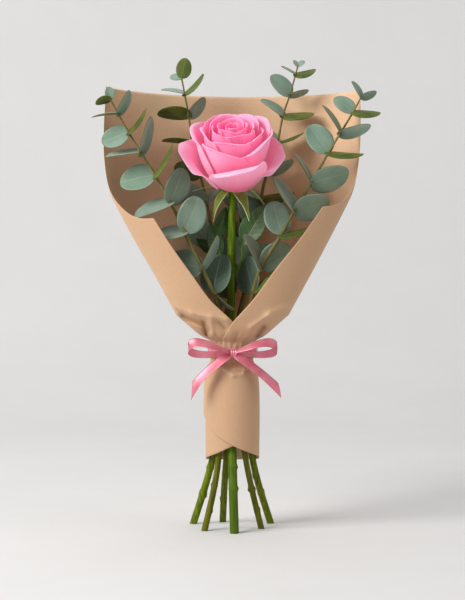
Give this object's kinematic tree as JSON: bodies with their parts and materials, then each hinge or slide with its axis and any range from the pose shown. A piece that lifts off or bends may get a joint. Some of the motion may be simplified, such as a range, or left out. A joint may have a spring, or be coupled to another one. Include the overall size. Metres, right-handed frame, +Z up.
{
  "type": "wrapped rose and eucalyptus bouquet",
  "caption": "Hand-tied bunch of a pink rose and eucalyptus branches in a flared kraft paper cone, tied at the neck with a satin bow; it stands on its splayed, level-cut stems.",
  "frame": {"origin": "middle of the bounding box's base, on the surface that the six cut stems stand on", "axes": "+Z up along the stems, +X to the right seen from the front, +Y to the back; the open front of the paper faces -Y"},
  "size_m": [0.2544, 0.1172, 0.4253],
  "materials": {
    "kraft_paper": "matte brown kraft",
    "satin_ribbon": "satin",
    "rose_stem": "smooth green bark",
    "rose_leaf": "glossy leaf",
    "sepal": "matte leaf",
    "rose_petal": "velvety petal",
    "eucalyptus": "waxy silver-green leaf on a woody stem"
  },
  "bodies": {
    "root": {"kraft_wrap": "kraft_paper", "ribbon_bow": "satin_ribbon", "rose_stem": "rose_stem", "rose_leaf_left": "rose_leaf", "rose_leaf_right": "rose_leaf", "sepal_1": "sepal", "sepal_2": "sepal", "sepal_3": "sepal", "sepal_4": "sepal", "sepal_5": "sepal", "petal_heart_1": "rose_petal", "petal_heart_2": "rose_petal", "petal_heart_3": "rose_petal", "petal_inner_1": "rose_petal", "petal_inner_2": "rose_petal", "petal_inner_3": "rose_petal", "petal_inner_4": "rose_petal", "petal_middle_1": "rose_petal", "petal_middle_2": "rose_petal", "petal_middle_3": "rose_petal", "petal_middle_4": "rose_petal", "petal_upper_1": "rose_petal", "petal_upper_2": "rose_petal", "petal_upper_3": "rose_petal", "petal_upper_4": "rose_petal", "petal_upper_5": "rose_petal", "petal_lower_1": "rose_petal", "petal_lower_2": "rose_petal", "petal_lower_3": "rose_petal", "petal_lower_4": "rose_petal", "petal_lower_5": "rose_petal", "petal_guard_1": "rose_petal", "petal_guard_2": "rose_petal", "petal_guard_3": "rose_petal", "petal_guard_4": "rose_petal", "eucalyptus_far_left": "eucalyptus", "eucalyptus_left": "eucalyptus", "eucalyptus_right": "eucalyptus", "eucalyptus_far_right": "eucalyptus", "eucalyptus_back": "eucalyptus"}
  },
  "joints": []
}
